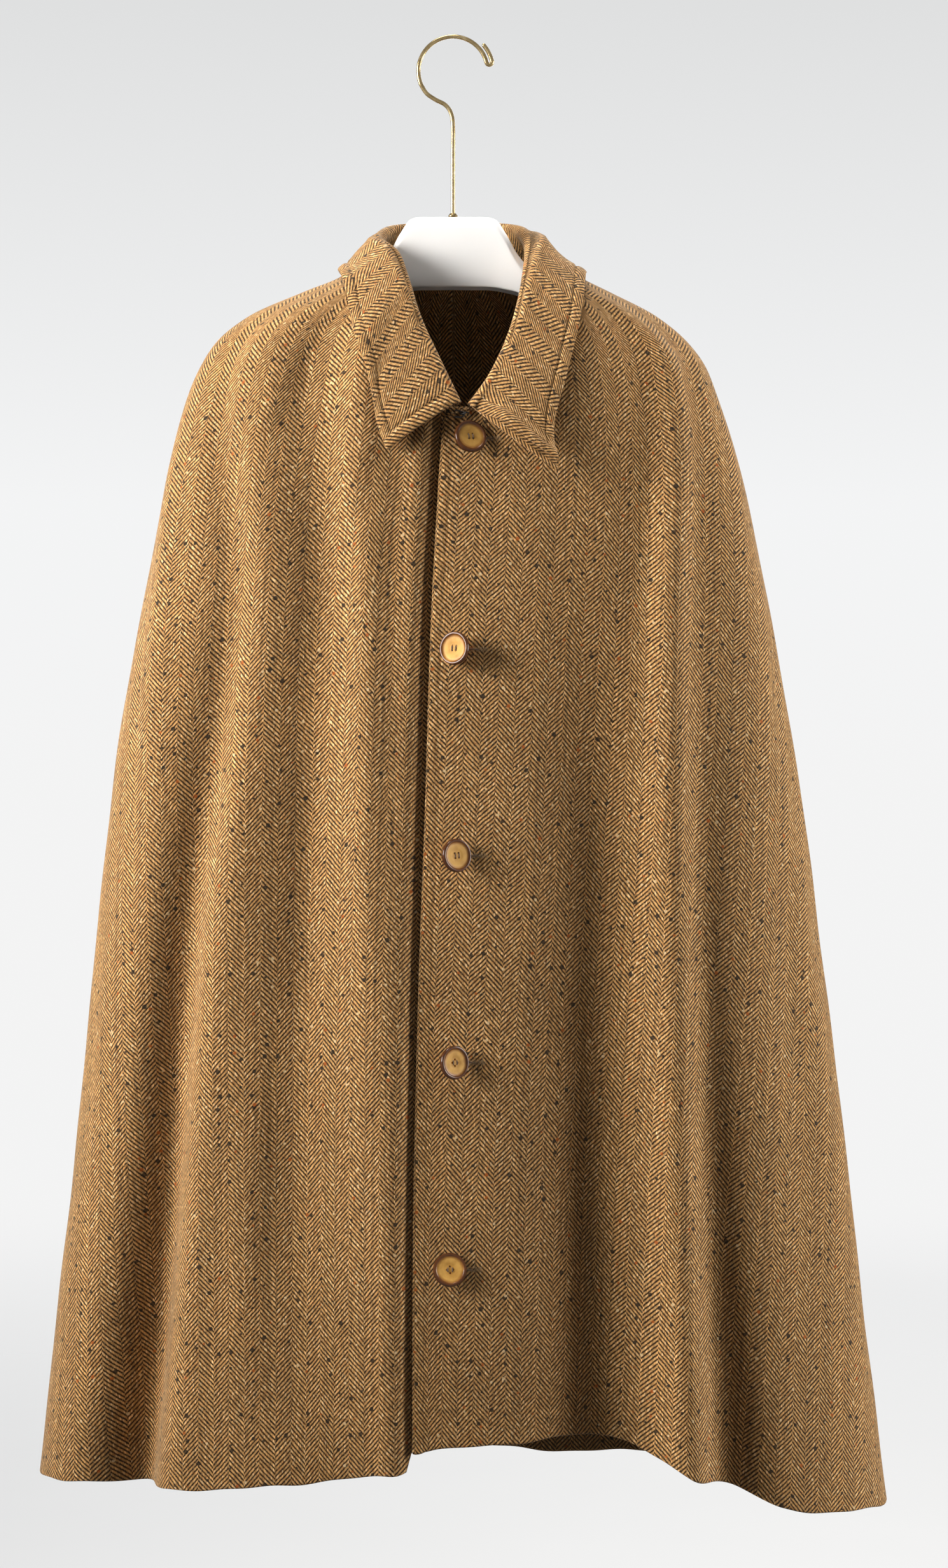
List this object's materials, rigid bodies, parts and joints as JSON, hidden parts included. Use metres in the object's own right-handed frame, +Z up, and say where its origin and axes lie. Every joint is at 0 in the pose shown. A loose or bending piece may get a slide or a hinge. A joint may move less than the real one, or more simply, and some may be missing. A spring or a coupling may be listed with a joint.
{
  "type": "cape coat on a hanger",
  "caption": "Single-breasted herringbone tweed cape with a pointed turn-down collar and horn-like buttons, hung on a white moulded hanger with a brass wire hook.",
  "frame": {"origin": "inside top of the hanger hook's loop, where it bears on the rail or hook that carries it", "axes": "+Z up along the hang line, the front of the cape faces -Y, +X is the viewer's right (the wearer's left)"},
  "size_m": [0.7814, 0.3091, 1.3527],
  "materials": {
    "tweed": "golden brown herringbone tweed with dark, rust and cream flecks, matt and slightly hairy",
    "horn": "polished horn look, tan dish inside a dark brown rim",
    "black_wire": "black enamelled wire",
    "moulded_white": "smooth moulded white",
    "brass_wire": "polished brass-coloured wire"
  },
  "bodies": {
    "root": {"front_right": "tweed", "front_left": "tweed", "back_right": "tweed", "back_left": "tweed", "upper_collar": "tweed", "under_collar": "tweed", "button_1": "horn", "button_2": "horn", "button_3": "horn", "button_4": "horn", "button_5": "horn", "neck_hook": "black_wire", "neck_eye": "black_wire", "hanger_body": "moulded_white", "hanger_hook": "brass_wire", "hanger_ferrule": "brass_wire"}
  },
  "joints": []
}
